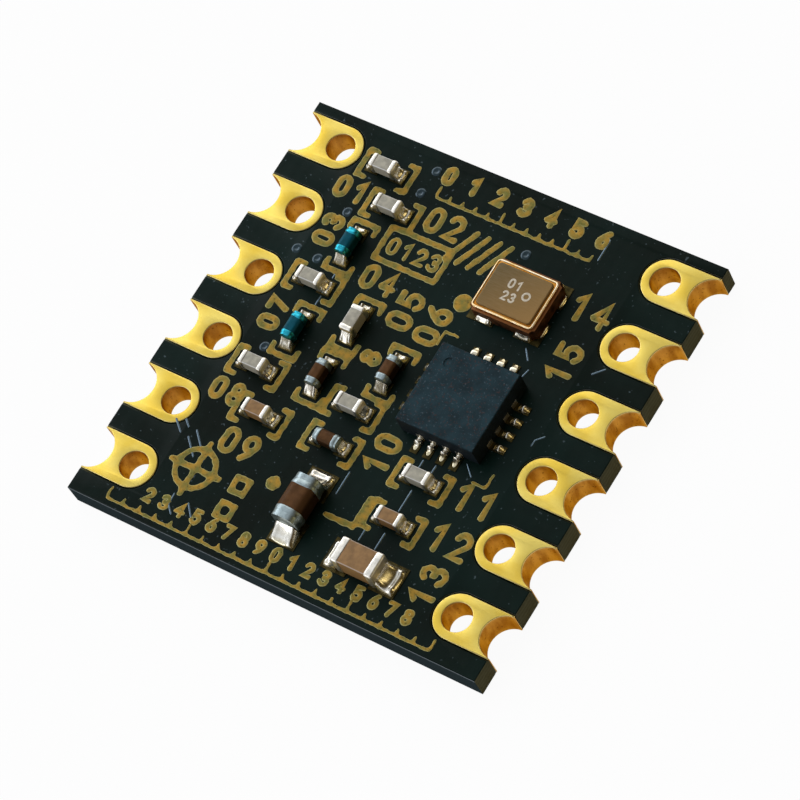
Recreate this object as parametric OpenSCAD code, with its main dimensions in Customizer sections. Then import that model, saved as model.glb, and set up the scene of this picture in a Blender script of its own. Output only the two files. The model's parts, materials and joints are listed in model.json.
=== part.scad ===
// Wireless transceiver module: a small circuit board with castellated plated pads along two
// edges. It carries a square leadless package, a quartz crystal and chip passives.
// Millimetres. X runs across the two pad rows, Y along them, Z up from the board's underside.

/* [Board] */
// Width across the two pad rows
board_w = 16; // [15.4:0.1:20]
// Length along the pad rows
board_l = 15.5; // [15.2:0.1:20]
// Finished thickness of the laminate with both masks
board_t = 1; // [0.6:0.1:2]

/* [Edge pads] */
// Number of pads in each row
pads_per_row = 6; // [2:1:6]
// Distance from a hole's centre to the board edge beside it
edge_margin = 1.65; // [1.5:0.01:1.8]
// Distance from the end pads' centres to the board's ends, taken as the mean of both ends
end_margin = 1.4; // [1.3:0.05:1.6]
// Offset of both rows from the middle of the board
row_shift = 0.2; // [-0.2:0.05:0.2]
// Finished diameter of the plated holes
hole_d = 1; // [0.5:0.05:1.2]
// Finished diameter of the plated half-holes
notch_d = 1.5; // [1:0.05:1.6]
// Distance of the half-holes' centres outside the board edge
notch_out = 0.06; // [0:0.01:0.2]
// Copper left beside the wall of a half-hole
notch_rim = 0.02; // [0.01:0.01:0.1]
// Thickness of the lands that are set into the masks
copper_t = 0.04; // [0.02:0.01:0.1]
// Thickness of the plating in the holes and half-holes
plating_t = 0.03; // [0.02:0.01:0.06]
// Bare ring between a land and the mask
mask_gap = 0.05; // [0.02:0.01:0.1]

/* [Small chips] */
// Length over the end caps
small_l = 0.95; // [0.9:0.05:1.2]
// Width
small_w = 0.5; // [0.4:0.05:0.6]
// Height
small_h = 0.55; // [0.4:0.05:0.7]
// Length of an end cap
small_end = 0.22; // [0.15:0.01:0.3]
// Reach of a land past the end cap
small_land_out = 0.28; // [0.15:0.01:0.35]
// Reach of a land past each side
small_land_side = 0.03; // [0:0.01:0.06]
// Height that the solder climbs
small_solder_h = 0.36; // [0.2:0.01:0.38]

/* [Large capacitor] */
// Length over the end caps
large_l = 1.6; // [1.4:0.05:1.8]
// Width
large_w = 0.9; // [0.7:0.01:1]
// Height
large_h = 0.85; // [0.6:0.05:1]
// Length of an end cap
large_end = 0.35; // [0.25:0.01:0.45]
// Reach of a land past the end cap
large_land_out = 0.6; // [0.3:0.01:0.65]
// Reach of a land past each side
large_land_side = 0.1; // [0:0.01:0.15]
// Height that the solder climbs
large_solder_h = 0.52; // [0.3:0.01:0.56]

/* [Large inductor] */
// Length over the end caps
coil_l = 1.65; // [1.4:0.05:1.8]
// Width
coil_w = 1; // [0.8:0.01:1.1]
// Height
coil_h = 0.92; // [0.6:0.01:1.1]
// Length of an end cap
coil_end = 0.42; // [0.3:0.01:0.5]
// Reach of a land past the end cap
coil_land_out = 0.58; // [0.3:0.01:0.65]
// Reach of a land past each side
coil_land_side = 0.03; // [0:0.01:0.1]
// Height that the solder climbs
coil_solder_h = 0.46; // [0.3:0.01:0.56]

/* [All chips] */
// Metal thickness of the end caps
cap_wall = 0.025; // [0.02:0.005:0.04]
// Edge rounding of the end caps
cap_round = 0.07; // [0.04:0.01:0.1]
// Edge rounding of the chip bodies
body_round = 0.03; // [0.01:0.01:0.05]

/* [Transceiver package] */
// Side of the square body
ic_size = 2.95; // [2.8:0.05:3.1]
// Height of the body
ic_h = 0.86; // [0.5:0.02:1]
// Leads on each side
ic_side_leads = 4; // [3:1:5]
// Distance from lead to lead
ic_pitch = 0.5; // [0.4:0.05:0.5]
// Width of a lead
ic_lead_w = 0.28; // [0.2:0.01:0.3]
// Length of a lead under the body
ic_lead_l = 0.34; // [0.25:0.01:0.36]
// Height of a lead at the body's side
ic_lead_h = 0.24; // [0.1:0.02:0.3]
// Reach of a land past the body
ic_land_out = 0.54; // [0.3:0.02:0.56]
// Reach of the solder where it climbs a lead
ic_climb_out = 0.24; // [0.15:0.01:0.28]
// Side of the exposed pad underneath
ic_ground_w = 1.7; // [1.2:0.1:1.9]
// Diameter of the first-lead dimple
ic_dot_d = 0.36; // [0.2:0.02:0.5]
// Depth of the first-lead dimple
ic_dot_depth = 0.03; // [0.01:0.01:0.05]
// Distance of the dimple from two sides
ic_dot_inset = 0.58; // [0.4:0.02:0.7]

/* [Crystal] */
// Length of the ceramic base
crystal_l = 2.5; // [2.4:0.05:2.8]
// Width of the ceramic base
crystal_w = 2; // [1.8:0.05:2.2]
// Height of the ceramic base
crystal_base_h = 0.46; // [0.3:0.02:0.5]
// Radius of the corner cut-outs
crystal_corner_r = 0.14; // [0.08:0.01:0.16]
// Inset of the seal ring from the base's edge
ring_inset = 0.08; // [0.06:0.01:0.14]
// Height of the seal ring
ring_h = 0.1; // [0.06:0.01:0.2]
// Width of the seal ring's wall
ring_wall = 0.26; // [0.15:0.01:0.3]
// Corner rounding of the ring
ring_round = 0.24; // [0.16:0.02:0.3]
// Inset of the lid from the ring's edge
lid_inset = 0.12; // [0.06:0.01:0.14]
// Thickness of the lid
lid_t = 0.08; // [0.05:0.01:0.12]
// Length of a corner terminal
terminal_l = 0.85; // [0.6:0.05:1]
// Width of a corner terminal
terminal_w = 0.7; // [0.5:0.05:0.8]
// Thickness of a corner terminal
terminal_t = 0.03; // [0.02:0.01:0.05]
// Reach of a land past the base
crystal_land_out = 0.13; // [0.08:0.01:0.2]
// Height that the solder climbs
crystal_solder_h = 0.18; // [0.1:0.01:0.25]
// Floor thickness under the cavity
cavity_floor = 0.14; // [0.1:0.01:0.16]
// Height of the posts under the quartz blank
post_h = 0.06; // [0.03:0.01:0.08]
// Length of a post
post_l = 0.3; // [0.2:0.02:0.4]
// Width of a post
post_w = 0.25; // [0.15:0.01:0.3]
// Length of the quartz blank
blank_l = 1.5; // [1.2:0.05:1.6]
// Width of the quartz blank
blank_w = 1; // [0.7:0.05:1.1]
// Thickness of the quartz blank
blank_t = 0.06; // [0.04:0.01:0.08]

/* [Lands and ink] */
// Step of the grid that the components and marks are placed on
place_step = 0.05; // [0.05:0.001:0.055]
// Height of the component lands above the mask
land_t = 0.03; // [0.02:0.01:0.06]
// Thickness of the printed ink
ink_t = 0.02; // [0.01:0.005:0.03]
// Width of a printed stroke
ink_w = 0.2; // [0.12:0.01:0.22]
// Gap between a land and a printed stroke
ink_gap = 0.1; // [0.06:0.01:0.12]
// Length of a bracket's arms
ink_arm = 0.5; // [0.3:0.05:0.6]

/* [Hidden] */
$fn = 48;
over = 0.1;
round_steps = 3;
edge_film = 0.02;
fillet_bend = 0.8;
pads = 2 * pads_per_row;
seat_z = board_t + land_t;
row_spacing = board_w - 2 * edge_margin;
pad_pitch = (board_l - 2 * end_margin) / (pads_per_row - 1);
notch_x = edge_margin + notch_out;
pad_half = notch_d / 2 + plating_t + notch_rim;
ic_half = ic_size / 2;
ring_l = crystal_l - 2 * ring_inset;
ring_w = crystal_w - 2 * ring_inset;
base_z = seat_z + terminal_t;
ring_z = base_z + crystal_base_h;
lid_z = ring_z + ring_h;
blank_z = base_z + cavity_floor + post_h;

// Chip sizes: length, width, height, end cap, land past the cap, land past the side, solder climb
SMALL = [small_l, small_w, small_h, small_end, small_land_out, small_land_side, small_solder_h];
LARGE = [large_l, large_w, large_h, large_end, large_land_out, large_land_side, large_solder_h];
COIL = [coil_l, coil_w, coil_h, coil_end, coil_land_out, coil_land_side, coil_solder_h];

// Colours: capacitors sand or tan, inductors teal or umber, with their end caps
SAND = ["#b0a898", "#f0eadc"];
TAN = ["#a87a55", "#ece4d4"];
TEAL = ["#0d5f78", "#2fb0c0"];
UMBER = ["#5a2e1c", "#9aa59a"];

// Chips: name, size, colours, centre across and along in placing steps, quarter turn, bracketed
CHIPS = [
    ["capacitor_1", SMALL, SAND, -87, 128, 0, true],
    ["capacitor_2", SMALL, SAND, -68, 104, 0, true],
    ["capacitor_3", SMALL, SAND, -88, 38, 0, true],
    ["capacitor_4", SMALL, SAND, -44, 23, 1, true],
    ["capacitor_5", SMALL, SAND, -89, -30, 0, true],
    ["capacitor_6", SMALL, TAN, -68, -58, 0, true],
    ["capacitor_7", SMALL, SAND, -13, -29, 0, true],
    ["capacitor_8", SMALL, SAND, 56, -54, 0, true],
    ["capacitor_9", SMALL, TAN, 55, -86, 0, true],
    ["capacitor_10", LARGE, TAN, 55, -120, 0, false],
    ["inductor_1", SMALL, TEAL, -79, 70, 1, true],
    ["inductor_2", SMALL, TEAL, -79, 3, 1, true],
    ["inductor_3", SMALL, UMBER, -45, -19, 1, true],
    ["inductor_4", SMALL, UMBER, -3, 2, 1, true],
    ["inductor_5", SMALL, UMBER, -13, -56, 0, true],
    ["inductor_6", COIL, UMBER, -5, -102, 1, false]
];

// Centres of the package and the crystal
ic_at = place_step * [55, 1];
crystal_at = place_step * [48, 80];

// Printed marks on the open parts of the board
dot_at = place_step * [13, 65];
dot_r = 0.33;
small_dot_at = place_step * [-33, -95];
small_dot_r = 0.26;
frame_at = place_step * [-37, 82];
frame_size = [2.6, 1.4];
target_at = place_step * [-87, -108];
target_r = 0.8;
target_arm = 1.05;
boxes_at = place_step * [-52, -106];
box_size = 0.7;
box_step = 0.95;
box_count = 2;
hatch_at = place_step * [3, 100];
hatch_step = 0.45;
hatch_count = 4;
hatch_l = 1.5;
hatch_tilt = 25;
back_rule_at = place_step * [14, 124];
back_rule_step = 0.5;
back_rule_count = 12;
front_rule_at = place_step * [-4, -150];
front_rule_step = 0.635;
front_rule_count = 20;
rule_long = 0.45;
rule_short = 0.25;
rule_every = 5;
corner_gap = 0.08;
corner_arm = 0.55;
corner_w = 0.1;
elbow_at = place_step * [32, -99];
elbow_arm = 1.15;

function corner_arc(x, y, r, from) = [
    for (k = [0 : round_steps])
        let (turn = from + 90 * k / round_steps)
        [x + r * cos(turn), y + r * sin(turn)]
];
function rounded_points(l, w, r) = concat(
    corner_arc(l / 2 - r, w / 2 - r, r, 0),
    corner_arc(r - l / 2, w / 2 - r, r, 90),
    corner_arc(r - l / 2, r - w / 2, r, 180),
    corner_arc(l / 2 - r, r - w / 2, r, 270)
);

// Pads count down the left row and up the right one
function on_left(i) = i <= pads_per_row;
function pad_step(i) = on_left(i) ? (pads_per_row + 1) / 2 - i : i - pads_per_row - (pads_per_row + 1) / 2;

// Plate with rounded upright corners, standing on Z = 0
module rounded_plate(l, w, h, r) {
    linear_extrude(h) polygon(rounded_points(l, w, r));
}

// Bar along X with rounded long edges, standing on Z = 0
module rounded_bar(l, w, h, r) {
    translate([-l / 2, 0, h / 2])
        rotate([90, 0, 90])
            linear_extrude(l) polygon(rounded_points(w, h, r));
}

// A pad's own frame: its hole at the origin, the board edge towards +X
module at_pad(i) {
    side = on_left(i) ? -1 : 1;
    translate([side * row_spacing / 2, row_shift + pad_pitch * pad_step(i), 0])
        rotate([0, 0, on_left(i) ? 180 : 0])
            children();
}

// Bullet outline: round about the hole, straight out to the board edge
module bullet(half, reach, z, h) {
    translate([0, -half, z]) cube([reach, 2 * half, h]);
    translate([0, 0, z]) cylinder(r = half, h = h);
}

module through(x, r) {
    translate([x, 0, -over]) cylinder(r = r, h = board_t + 2 * over);
}

module printed_circuit_board() {
    color("#14232b")
        difference() {
            translate([-board_w / 2, -board_l / 2, 0]) cube([board_w, board_l, board_t]);
            for (i = [1 : pads]) at_pad(i) {
                through(0, hole_d / 2 + plating_t);
                through(notch_x, notch_d / 2 + plating_t);
                bullet(pad_half + mask_gap, edge_margin + over, board_t - copper_t, copper_t + over);
                bullet(pad_half + mask_gap, edge_margin + over, -over, copper_t + over);
            }
        }
}

// Top land, barrel, half-hole wall and bottom land in one skin
module edge_pad(i) {
    color("#e6c93f")
        at_pad(i)
            difference() {
                union() {
                    bullet(pad_half, edge_margin, board_t - copper_t, copper_t);
                    bullet(pad_half, edge_margin, 0, copper_t);
                    cylinder(r = hole_d / 2 + plating_t, h = board_t);
                    intersection() {
                        translate([notch_x, 0, 0]) cylinder(r = notch_d / 2 + plating_t, h = board_t);
                        translate([0, -pad_half, 0]) cube([edge_margin, 2 * pad_half, board_t]);
                    }
                }
                through(0, hole_d / 2);
                through(notch_x, notch_d / 2);
            }
}

// A chip's own frame: its middle at the origin on its lands, its length along X
module at_chip(c, z = seat_z) {
    translate([place_step * c[3], place_step * c[4], z]) rotate([0, 0, 90 * c[5]]) children();
}

module both_ends() {
    children();
    rotate([0, 0, 180]) children();
}

module ceramic(s) {
    translate([0, 0, cap_wall])
        rounded_bar(s[0] - 2 * cap_wall, s[1] - 2 * cap_wall, s[2] - 2 * cap_wall, body_round);
}

module chip_body(c) {
    color(c[2][0]) at_chip(c) ceramic(c[1]);
}

// Metal caps that wrap the last stretch of the body, rounded on all long edges
module chip_ends(c) {
    s = c[1];
    color(c[2][1])
        at_chip(c)
            both_ends()
                difference() {
                    intersection() {
                        rounded_bar(s[0] + over, s[1], s[2], cap_round);
                        translate([0, s[1], s[2] / 2])
                            rotate([90, 0, 0])
                                linear_extrude(2 * s[1]) polygon(rounded_points(s[0], s[2], cap_round));
                        translate([s[0] / 2 - s[3], -s[1], -over])
                            cube([s[3] + over, 2 * s[1], s[2] + 2 * over]);
                    }
                    ceramic(s);
                }
}

// Hollow solder fillet against an upright wall at X = 0, reaching out along X
module fillet(out, w, rise) {
    a = out - edge_film;
    b = rise - edge_film;
    chord = norm([a, b]);
    r = fillet_bend * chord;
    lift = sqrt(r * r - chord * chord / 4) / chord;
    difference() {
        translate([0, -w / 2, 0]) cube([out, w, rise]);
        translate([(out + edge_film) / 2 + b * lift, 0, (rise + edge_film) / 2 + a * lift])
            rotate([90, 0, 0])
                cylinder(r = r, h = w + 2 * over, center = true);
    }
}

module chip_solder() {
    color("#d9d6cf")
        for (c = CHIPS) at_chip(c) both_ends()
            translate([c[1][0] / 2, 0, 0]) fillet(c[1][4], c[1][1] + 2 * c[1][5], c[1][6]);
}

// The package's own frame: its middle at the origin on its lands
module at_ic(z = seat_z) {
    translate([ic_at[0], ic_at[1], z]) children();
}

// Each lead's frame: the body's side at X = 0, pointing out
module at_leads() {
    for (side = [0 : 3]) rotate([0, 0, 90 * side])
        for (k = [1 : ic_side_leads])
            translate([ic_half, ic_pitch * (k - (ic_side_leads + 1) / 2), 0]) children();
}

module lead_block() {
    translate([-ic_lead_l, -ic_lead_w / 2, 0]) cube([ic_lead_l, ic_lead_w, ic_lead_h]);
}

module ground_block() {
    translate([-ic_ground_w / 2, -ic_ground_w / 2, 0]) cube([ic_ground_w, ic_ground_w, ic_lead_h]);
}

module transceiver_body() {
    color("#22313f")
        at_ic() difference() {
            translate([-ic_half, -ic_half, 0]) cube([ic_size, ic_size, ic_h]);
            at_leads() lead_block();
            ground_block();
            translate([ic_dot_inset - ic_half, ic_half - ic_dot_inset, ic_h - ic_dot_depth])
                cylinder(d = ic_dot_d, h = ic_dot_depth + over);
        }
}

module transceiver_leads() {
    color("#c9c3b4") at_ic() at_leads() lead_block();
}

module transceiver_ground_pad() {
    color("#c9c3b4") at_ic() ground_block();
}

// Half-round bead along X with a rounded outer end
module bead(l, r) {
    profile = concat([[0, 0], [r, 0]], corner_arc(0, l - r, r, 0));
    intersection() {
        rotate([0, 90, 0]) rotate_extrude() polygon(profile);
        translate([-over, -2 * r, 0]) cube([l + 2 * over, 4 * r, 2 * r]);
    }
}

module transceiver_solder() {
    color("#d9d6cf")
        at_ic() at_leads() {
            bead(ic_land_out, ic_lead_w / 2);
            fillet(ic_climb_out, ic_lead_w, ic_lead_h);
        }
}

module at_crystal(z) {
    translate([crystal_at[0], crystal_at[1], z]) children();
}

// Four corners of the crystal, each with its corner at the origin and the base towards -X, -Y
module at_crystal_corners(z) {
    for (mx = [0, 1]) for (my = [0, 1])
        at_crystal(z)
            mirror([mx, 0, 0])
                mirror([0, my, 0])
                    translate([crystal_l / 2, crystal_w / 2, 0]) children();
}

// Ceramic base with cut-out corners, a cavity and two posts for the blank
module crystal_base() {
    cavity_l = ring_l - 2 * ring_wall;
    cavity_w = ring_w - 2 * ring_wall;
    color("#3a2c1e")
        union() {
            difference() {
                at_crystal(base_z)
                    translate([-crystal_l / 2, -crystal_w / 2, 0])
                        cube([crystal_l, crystal_w, crystal_base_h]);
                at_crystal_corners(base_z - over)
                    cylinder(r = crystal_corner_r, h = crystal_base_h + 2 * over);
                at_crystal(base_z + cavity_floor)
                    translate([-cavity_l / 2, -cavity_w / 2, 0])
                        cube([cavity_l, cavity_w, crystal_base_h]);
            }
            for (my = [-1, 1])
                at_crystal(base_z)
                    translate([-blank_l / 2, my * (blank_w - post_w) / 2 - post_w / 2, 0])
                        cube([post_l, post_w, cavity_floor + post_h]);
        }
}

module crystal_blank() {
    color("#cfd6da")
        at_crystal(blank_z)
            translate([-blank_l / 2, -blank_w / 2, 0])
                cube([blank_l, blank_w, blank_t]);
}

module crystal_ring() {
    color("#c98a35")
        at_crystal(ring_z)
            difference() {
                rounded_plate(ring_l, ring_w, ring_h, ring_round);
                translate([ring_wall - ring_l / 2, ring_wall - ring_w / 2, -over])
                    cube([ring_l - 2 * ring_wall, ring_w - 2 * ring_wall, ring_h + 2 * over]);
            }
}

module crystal_lid() {
    color("#6a5a42")
        at_crystal(lid_z)
            rounded_plate(ring_l - 2 * lid_inset, ring_w - 2 * lid_inset, lid_t, ring_round - lid_inset);
}

// Corner terminals between the base and its lands, cut out with the base's corners
module crystal_terminals() {
    color("#c98a35")
        at_crystal_corners(seat_z)
            difference() {
                translate([-terminal_l, -terminal_w, 0]) cube([terminal_l, terminal_w, terminal_t]);
                translate([0, 0, -over]) cylinder(r = crystal_corner_r, h = terminal_t + 2 * over);
            }
}

// Solder along both outer sides of each terminal
module crystal_solder() {
    run_l = terminal_l - crystal_corner_r;
    run_w = terminal_w - crystal_corner_r;
    color("#d9d6cf")
        at_crystal_corners(seat_z) {
            translate([0, -crystal_corner_r - run_w / 2, 0])
                fillet(crystal_land_out, run_w, crystal_solder_h);
            translate([-crystal_corner_r - run_l / 2, 0, 0])
                rotate([0, 0, 90]) fillet(crystal_land_out, run_l, crystal_solder_h);
        }
}

module component_lands() {
    color("#d6ccb0") {
        for (c = CHIPS) at_chip(c) both_ends()
            translate([c[1][0] / 2 - c[1][3], -c[1][1] / 2 - c[1][5], -land_t])
                cube([c[1][3] + c[1][4], c[1][1] + 2 * c[1][5], land_t]);
        at_ic() at_leads()
            translate([-ic_lead_l, -ic_lead_w / 2, -land_t])
                cube([ic_lead_l + ic_land_out, ic_lead_w, land_t]);
        at_ic()
            translate([-ic_ground_w / 2, -ic_ground_w / 2, -land_t])
                cube([ic_ground_w, ic_ground_w, land_t]);
        at_crystal_corners(board_t)
            translate([-terminal_l, -terminal_w, 0])
                cube([terminal_l + crystal_land_out, terminal_w + crystal_land_out, land_t]);
    }
}

// Bar of ink from the origin along X
module stroke(l, w = ink_w) {
    translate([0, -w / 2, 0]) cube([l, w, ink_t]);
}

// Pair of square brackets round a chip's lands
module brackets(s) {
    bx = s[0] / 2 + s[4] + ink_gap + ink_w;
    by = s[1] / 2 + s[5] + ink_gap + ink_w;
    both_ends()
        linear_extrude(ink_t)
            polygon([
                [bx - ink_arm, by], [bx, by], [bx, -by], [bx - ink_arm, -by],
                [bx - ink_arm, ink_w - by], [bx - ink_w, ink_w - by],
                [bx - ink_w, by - ink_w], [bx - ink_arm, by - ink_w]
            ]);
}

// Row of ticks with every so many drawn long
module rule(step, count) {
    for (k = [0 : count])
        translate([step * (k - count / 2), 0, 0])
            rotate([0, 0, 90]) stroke(k % rule_every == 0 ? rule_long : rule_short, corner_w);
    translate([-step * count / 2, 0, 0]) stroke(step * count, corner_w);
}

module open_box(l, w) {
    difference() {
        translate([-l / 2, -w / 2, 0]) cube([l, w, ink_t]);
        translate([ink_w - l / 2, ink_w - w / 2, -over])
            cube([l - 2 * ink_w, w - 2 * ink_w, ink_t + 2 * over]);
    }
}

module target() {
    difference() {
        cylinder(r = target_r, h = ink_t);
        translate([0, 0, -over]) cylinder(r = target_r - ink_w, h = ink_t + 2 * over);
    }
    for (turn = [0, 90]) rotate([0, 0, turn]) translate([-target_arm, 0, 0]) stroke(2 * target_arm);
}

// Open corner of two arms that meet at the origin
module elbow(l, w) {
    translate([-w / 2, 0, 0]) stroke(l + w / 2, w);
    rotate([0, 0, 90]) translate([-w / 2, 0, 0]) stroke(l + w / 2, w);
}

module legend_ink() {
    corner = ic_half + ic_land_out + corner_gap;
    color("#9a8a2e")
        translate([0, 0, board_t]) {
            for (c = CHIPS)
                if (c[6]) at_chip(c, 0) brackets(c[1]);
            translate(dot_at) cylinder(r = dot_r, h = ink_t);
            translate(small_dot_at) cylinder(r = small_dot_r, h = ink_t);
            translate(frame_at) open_box(frame_size[0], frame_size[1]);
            translate(target_at) target();
            for (k = [0 : box_count - 1])
                translate([boxes_at[0], boxes_at[1] - box_step * k, 0]) open_box(box_size, box_size);
            for (k = [0 : hatch_count - 1])
                translate([hatch_at[0] + hatch_step * (k - (hatch_count - 1) / 2), hatch_at[1], 0])
                    rotate([0, 0, 90 - hatch_tilt])
                        translate([-hatch_l / 2, 0, 0]) stroke(hatch_l, ink_w);
            translate(back_rule_at) rule(back_rule_step, back_rule_count);
            translate(front_rule_at) rule(front_rule_step, front_rule_count);
            translate(elbow_at) rotate([0, 0, 90]) elbow(elbow_arm, ink_w);
            for (turn = [90, 270]) at_ic(0) rotate([0, 0, turn])
                translate([corner, corner, 0]) rotate([0, 0, 180]) elbow(corner_arm, corner_w);
        }
}

printed_circuit_board();
for (i = [1 : pads]) edge_pad(i);
for (c = CHIPS) chip_body(c);
for (c = CHIPS) chip_ends(c);
transceiver_body();
transceiver_leads();
transceiver_ground_pad();
crystal_base();
crystal_blank();
crystal_ring();
crystal_lid();
crystal_terminals();
component_lands();
chip_solder();
transceiver_solder();
crystal_solder();
legend_ink();
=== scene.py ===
"""Finishes, fine shapes and studio of a wireless transceiver module, round its packed solids."""

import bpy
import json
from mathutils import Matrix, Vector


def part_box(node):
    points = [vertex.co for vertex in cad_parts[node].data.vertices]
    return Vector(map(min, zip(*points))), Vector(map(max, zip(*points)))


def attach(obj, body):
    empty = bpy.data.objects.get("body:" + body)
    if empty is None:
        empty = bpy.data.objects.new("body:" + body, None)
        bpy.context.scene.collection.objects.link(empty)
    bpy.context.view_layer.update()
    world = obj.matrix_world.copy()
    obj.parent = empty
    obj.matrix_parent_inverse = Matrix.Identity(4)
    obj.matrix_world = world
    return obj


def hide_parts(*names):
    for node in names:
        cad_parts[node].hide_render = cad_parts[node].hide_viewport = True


bl_info = {
    "name": "Wireless transceiver module",
    "version": (1, 0, 0),
    "blender": (4, 5, 0),
    "location": "3D View > Sidebar > Module",
    "description": "Dresses the packed solids of a small radio module and sets up its studio",
    "category": "Object",
}

import json
import math

import bmesh
import bpy
from bpy.props import FloatProperty, FloatVectorProperty, PointerProperty
from mathutils import Matrix, Vector, geometry, noise

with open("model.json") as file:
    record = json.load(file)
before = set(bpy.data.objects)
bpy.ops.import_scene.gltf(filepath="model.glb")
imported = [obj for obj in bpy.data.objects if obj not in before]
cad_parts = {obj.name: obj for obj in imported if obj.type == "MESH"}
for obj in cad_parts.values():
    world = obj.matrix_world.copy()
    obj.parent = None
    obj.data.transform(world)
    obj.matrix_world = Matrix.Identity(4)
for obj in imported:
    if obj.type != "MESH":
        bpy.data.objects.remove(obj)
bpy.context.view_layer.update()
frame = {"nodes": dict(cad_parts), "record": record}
SOLIDS = frame["nodes"]
SLOT_OF = {row["node"]: row["material_slot"] for row in frame["record"]["subparts"]}
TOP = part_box("printed_circuit_board")[1].z

MM = 0.001
WELD = 0.0002 * MM
LEVEL = 0.002 * MM          # how far a flat face may lie from its height
SHARP = math.radians(40)    # least turn of an edge that counts as sharp
WAVE = 0.314                # length of one band of a wave texture at scale 1
RAGGED = 0.16 * MM          # length of one bend of a ragged printed edge
BLACK, WHITE = (0.0, 0.0, 0.0, 1.0), (1.0, 1.0, 1.0, 1.0)
UP = Vector((0.0, 0.0, 1.0))

CAPACITORS = [f"capacitor_{k}" for k in range(1, 11)]
INDUCTORS = [f"inductor_{k}" for k in range(1, 7)]
EDGE_PADS = [f"edge_pad_{k}" for k in range(1, 13)]


def lin(code):
    """Linear colour of an sRGB hex value."""
    parts = [int(code[k:k + 2], 16) / 255 for k in (1, 3, 5)]
    return tuple(c / 12.92 if c <= 0.04045 else ((c + 0.055) / 1.055) ** 2.4 for c in parts) + (1.0,)


def colour(name, description, code):
    """Colour setting, from an sRGB hex value."""
    return FloatVectorProperty(name=name, description=description, subtype="COLOR", size=4,
                               min=0.0, max=1.0, default=lin(code))


def length(name, description, size):
    """Length setting, given in millimetres."""
    return FloatProperty(name=name, description=description, unit="LENGTH", precision=6,
                         min=0.0, default=size * MM)


def power(name, description, watts):
    """Setting of a lamp's power."""
    return FloatProperty(name=name, description=description, unit="POWER", min=0.0, default=watts)


def angle(name, description, degrees):
    """Angle setting, given in degrees."""
    return FloatProperty(name=name, description=description, subtype="ANGLE", default=math.radians(degrees))


class BoardLook(bpy.types.PropertyGroup):
    """Board: mask, bare edges and the copper that shows through the mask."""
    mask_dark: colour("Mask, dark", "Greener, darker patches of the mask", "#07120a")
    mask_blue: colour("Mask, blue", "Bluer, lighter patches of the mask", "#0b1f1a")
    dust: colour("Dust", "Pale specks that lie on the mask", "#6d7d84")
    laminate_dark: colour("Laminate, dark", "Resin between the glass layers of the routed edges", "#6c6a52")
    laminate_light: colour("Laminate, light", "Glass layers of the routed edges", "#747258")
    sheared: colour("Painted edge shade", "Darkened front and back edges", "#343e40")
    chafed: colour("Painted edge highlight", "Painted highlight along the top of the front edge", "#8f959a")
    edge_ease: length("Edge rounding", "Rounding of the mask's edges", 0.034)
    trace_width: length("Trace width", "Width of a trace under the mask", 0.075)
    trace_height: length("Trace height", "Height of a trace under the mask", 0.014)
    via_height: length("Via height", "Height of a covered via", 0.02)
    via_radius: length("Via radius", "Radius of a covered via", 0.18)


class PadLook(bpy.types.PropertyGroup):
    """Edge pads."""
    gold_deep: colour("Gold, deep", "Deeper patches of the plating", "#debd4a")
    gold_pale: colour("Gold, pale", "Paler patches of the plating", "#e8d06c")
    rim: colour("Rim", "Paler rounded rims of the pads", "#ecd58a")
    wall_pale: colour("Hole wall, pale", "Paler parts of the walls of the holes", "#c48a3e")
    wall_dark: colour("Hole wall, dark", "Streaks down the walls of the holes", "#9c652c")
    edge_ease: length("Edge rounding", "Rounding of the lands' and holes' rims", 0.034)


class ChipLook(bpy.types.PropertyGroup):
    """Chip capacitors and inductors."""
    sand: colour("Sand ceramic", "Pale capacitor bodies", "#b4ae9c")
    tan: colour("Tan ceramic", "Brown capacitor bodies", "#9d774a")
    teal: colour("Teal ceramic", "Bodies of the teal inductors", "#0f5464")
    umber: colour("Umber ferrite", "Bodies of the brown inductors", "#614227")
    tin: colour("Tin plate", "End caps of the capacitors", "#f2ecdf")
    teal_tin: colour("Teal end caps", "End caps of the teal inductors", "#30a6ba")
    dull_tin: colour("Dull end caps", "End caps of the brown inductors", "#9daaab")
    end_ease: length("End rounding", "Rounding of the capacitors' end caps", 0.075)
    coil_ease: FloatProperty(name="Inductor rounding", subtype="FACTOR", default=0.7, min=0.1, max=0.8,
                             description="Rounding of the inductors' end caps, against half their width")
    lip_wave: length("Lip waviness", "How far the inner edge of an end cap wanders", 0.018)


class SolderLook(bpy.types.PropertyGroup):
    """Solder joints."""
    bright: colour("Solder, bright", "Brighter patches of the solder", "#f7f3ea")
    shade: colour("Solder, shade", "Greyer patches of the solder", "#e0d9cb")
    warm: colour("Solder, warm", "Thin solder, warmed by the gold below it", "#dcc45a")
    land_dull: colour("Tinned land, dull", "Duller patches of the tinned lands", "#302a16")
    land_warm: colour("Tinned land, warm", "Warmer patches of the tinned lands", "#504626")


class PackageLook(bpy.types.PropertyGroup):
    """Transceiver package."""
    slate_dark: colour("Slate, dark", "Darker patches of the moulding", "#16292f")
    slate_light: colour("Slate, light", "Lighter patches of the moulding", "#213a42")
    sawn: colour("Sides, painted shade", "Sides of the moulding, painted darker than the top as shade", "#182126")
    speck_red: colour("Warm speck", "Reddish filler grains", "#43312e")
    speck_pale: colour("Pale speck", "Pale filler grains", "#4a5c66")
    edge_ease: length("Edge rounding", "Rounding of the moulding's edges", 0.035)


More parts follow.
